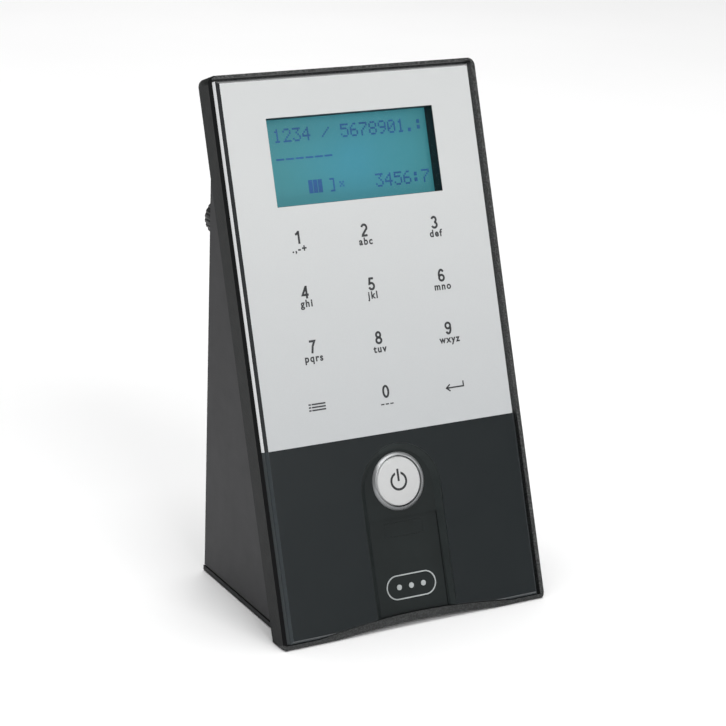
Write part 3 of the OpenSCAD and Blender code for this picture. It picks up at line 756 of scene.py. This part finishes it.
# Middle lines of the digits' strokes, for a digit one unit high
DIGIT_STROKES = {
    "0": [loop(0.29, 0.5, 0.205, 0.425)],
    "1": [[(0.10, 0.72), (0.24, 0.80), (0.33, 0.92)], [(0.35, 0), (0.35, 1)]],
    "2": [arc(0.28, 0.69, 0.2, 0.235, 168, -25) + [(0.13, 0.17), (0.1, 0.075), (0.5, 0.075)]],
    "3": [arc(0.27, 0.715, 0.175, 0.21, 165, -85), arc(0.27, 0.29, 0.205, 0.215, 85, -165)],
    "4": [[(0.38, 0), (0.38, 0.98)], [(0.36, 0.92), (0.06, 0.29), (0.54, 0.29)]],
    "5": [[(0.47, 0.925), (0.17, 0.925), (0.12, 0.52)] + arc(0.27, 0.32, 0.205, 0.245, 120, -165)],
    "6": [arc(0.30, 0.5, 0.21, 0.425, 38, 190), loop(0.29, 0.3, 0.2, 0.225)],
    "7": [[(0.06, 0.925), (0.49, 0.925), (0.31, 0.55), (0.22, 0)]],
    "8": [loop(0.28, 0.725, 0.17, 0.2), loop(0.28, 0.29, 0.205, 0.215)],
    "9": [arc(0.27, 0.5, 0.21, 0.425, -142, 10), loop(0.28, 0.7, 0.2, 0.225)],
}
# Stroke, extra width and middle of a digit one unit high
DIGIT_STROKE = 0.175
DIGIT_WIDEN = 1.08
DIGIT_MIDDLE = 0.29


def add_ribbon(bm, points, width):
    """A flat inked band along the points, which are (x, v); closed if its ends meet."""
    path = [Vector(p) for p in points]
    closed = (path[0] - path[-1]).length < width * 0.1
    if closed:
        path.pop()
    count = len(path)
    rings = []
    for i, p in enumerate(path):
        before = path[i - 1] if i or closed else None
        after = path[(i + 1) % count] if i < count - 1 or closed else None
        t0 = (p - before).normalized() if before else (after - p).normalized()
        t1 = (after - p).normalized() if after else t0
        along = (t0 + t1).normalized()
        reach = width / 2 / max(0.5, along.dot(t1))
        side = Vector((-along.y, along.x)) * reach
        corners = [(p + side, -INK_T), (p - side, -INK_T), (p - side, INK_T), (p + side, INK_T)]
        rings.append([bm.verts.new((q.x, d, q.y)) for q, d in corners])
    pairs = zip(rings, rings[1:] + rings[:1]) if closed else zip(rings, rings[1:])
    for a, b in pairs:
        for k in range(4):
            bm.faces.new((a[k], b[k], b[(k + 1) % 4], a[(k + 1) % 4]))
    if not closed:
        bm.faces.new(rings[0])
        bm.faces.new(rings[-1])


def add_digit(bm, digit, x, v):
    for stroke in DIGIT_STROKES[digit]:
        points = [(x + (px - DIGIT_MIDDLE) * DIGIT_H * DIGIT_WIDEN, v + pv * DIGIT_H) for px, pv in stroke]
        add_ribbon(bm, points, DIGIT_STROKE * DIGIT_H)


def add_letters(bm, text, x, v):
    """Flat inked letters, centred on x, with their baseline on v."""
    curve = bpy.data.curves.new("lettering", "FONT")
    curve.body = text
    curve.align_x = "CENTER"
    curve.offset = LETTER_BOLD
    curve.space_character = LETTER_SPACING
    curve.extrude = 0.5
    curve.resolution_u = 6
    obj = bpy.data.objects.new("lettering", curve)
    bpy.context.scene.collection.objects.link(obj)
    bpy.context.view_layer.update()
    mesh = bpy.data.meshes.new_from_object(obj.evaluated_get(bpy.context.evaluated_depsgraph_get()))
    size = LETTER_H / FONT_CAPITAL
    # The text lies in its own XY plane, so its height turns into v and its thickness into depth
    turn = Matrix(((size * LETTER_WIDEN, 0, 0, x), (0, 0, -INK_T, 0), (0, size, 0, v), (0, 0, 0, 1)))
    mesh.transform(turn)
    bm.from_mesh(mesh)
    bpy.data.objects.remove(obj)
    bpy.data.curves.remove(curve)
    bpy.data.meshes.remove(mesh)


def add_dashes(bm, x, v):
    """Three short dashes in a row."""
    pitch = 1.7
    half = 0.4
    width = 0.42
    for i in (-1, 0, 1):
        middle = x + i * pitch
        add_bar(bm, (middle - half, v), (middle + half, v), width)


# Digit, column, row from the bottom up, and the letters under it
KEYS = (
    ("1", 0, 3, ".,-+"), ("2", 1, 3, "abc"), ("3", 2, 3, "def"),
    ("4", 0, 2, "ghi"), ("5", 1, 2, "jkl"), ("6", 2, 2, "mno"),
    ("7", 0, 1, "pqrs"), ("8", 1, 1, "tuv"), ("9", 2, 1, "wxyz"),
    ("0", 1, 0, ""),
)


def make_number_keys():
    for digit, column, row, letters in KEYS:
        bm = bmesh.new()
        x = KEY_X[column]
        base = KEY_BASE[row]
        add_digit(bm, digit, x, base)
        if letters:
            add_letters(bm, letters, x, base - LETTER_DROP)
        else:
            add_dashes(bm, x, base - DASH_DROP)
        piece_from(bm, "legend_" + digit, "symbol_ink", "legend_ink")


def make_menu_key():
    """Plain sign for the function key: a list of three lines, each with its point."""
    bm = bmesh.new()
    middle = KEY_BASE[0] + 0.45
    point_left = KEY_X[0] - 3.9
    point_right = KEY_X[0] - 3.55
    line_left = KEY_X[0] - 2.8
    line_right = KEY_X[0] + 1.7
    for i in (-1, 0, 1):
        v = middle + i * SIGN_GAP
        add_bar(bm, (line_left, v), (line_right, v), SIGN_W)
        add_bar(bm, (point_left, v), (point_right, v), SIGN_W)
    piece_from(bm, "legend_menu", "symbol_ink", "legend_ink")


def make_return_key():
    """Plain sign for the confirm key: a bent arrow."""
    bm = bmesh.new()
    v = KEY_BASE[0] + 0.1
    left = KEY_X[2] - 3.5
    right = KEY_X[2] + 2.9
    rise = 1.5
    barb = 1.1
    add_bar(bm, (left, v), (right, v), SIGN_W)
    add_bar(bm, (right, v), (right, v + rise), SIGN_W)
    for way in (-1, 1):
        add_bar(bm, (left - 0.1, v), (left + barb, v + way * SIGN_GAP), SIGN_W)
    piece_from(bm, "legend_return", "symbol_ink", "legend_ink")


# ---------------------------------------------------------------- stage, lights and camera

def make_floor():
    bm = bmesh.new()
    bmesh.ops.create_grid(bm, x_segments=1, y_segments=1, size=FLOOR_SIZE)
    mesh = bpy.data.meshes.new("floor")
    bm.to_mesh(mesh)
    bm.free()
    floor = bpy.data.objects.new("floor", mesh)
    bpy.context.scene.collection.objects.link(floor)
    mat = shader("floor_paper", Roughness=0.9)
    spread(mat, noise(mat, 300), [tone(250, 250, 250), tone(253, 253, 253)])
    mesh.materials.append(mat)


def make_lights():
    for name, place, side, power in SOFT_BOXES:
        light = bpy.data.lights.new(name, "AREA")
        light.shape = "SQUARE"
        light.size = side
        light.energy = power
        obj = bpy.data.objects.new(name, light)
        obj.location = place
        obj.rotation_euler = (Vector(LIGHT_AIM) - Vector(place)).to_track_quat("-Z", "Y").to_euler()
        bpy.context.scene.collection.objects.link(obj)


def make_world():
    """Soft studio surroundings: dim in front, brighter overhead, to the right and behind."""
    world = bpy.data.worlds.new("studio")
    world.use_nodes = True
    coords = node(world, "ShaderNodeTexCoord")
    split = node(world, "ShaderNodeSeparateXYZ")
    join(world, coords, "Generated", split, "Vector")
    total = node(world, "ShaderNodeValue")
    total.outputs[0].default_value = WORLD_LOW
    for axis, start, end, rise in WORLD_RISES:
        level = node(world, "ShaderNodeMapRange", From_Min=start, From_Max=end, To_Min=0.0, To_Max=rise,
                     interpolation_type="SMOOTHSTEP")
        both = node(world, "ShaderNodeMath", operation="ADD")
        join(world, split, axis, level, "Value")
        join(world, total, "Value", both, 0)
        join(world, level, "Result", both, 1)
        total = both
    join(world, total, "Value", world.node_tree.nodes["Background"], "Strength")
    bpy.context.scene.world = world


def make_camera():
    camera = bpy.data.cameras.new("camera")
    camera.lens = CAM_LENS
    camera.sensor_width = CAM_SENSOR
    back = Vector((sin(CAM_AZIMUTH) * cos(CAM_ELEVATION), -cos(CAM_AZIMUTH) * cos(CAM_ELEVATION),
                   sin(CAM_ELEVATION)))
    right = Vector((cos(CAM_AZIMUTH), sin(CAM_AZIMUTH), 0))
    up = back.cross(right)
    across = right * cos(CAM_ROLL) + up * sin(CAM_ROLL)
    upward = up * cos(CAM_ROLL) - right * sin(CAM_ROLL)
    obj = bpy.data.objects.new("camera", camera)
    turn = Matrix((across, upward, back)).transposed().to_4x4()
    obj.matrix_world = Matrix.Translation(CAM_AIM + back * CAM_DISTANCE) @ turn
    bpy.context.scene.collection.objects.link(obj)
    bpy.context.scene.camera = obj


make_camera()
make_floor()
make_world()
make_lights()
make_shell_materials()
make_plate_materials()
make_display_materials()
make_button_materials()
make_inner_materials()
dress_nodes()
make_plate()
make_window_mask()
make_window_pane()
make_display_dots()
make_number_keys()
make_menu_key()
make_return_key()
bpy.context.scene.view_settings.view_transform = "Standard"
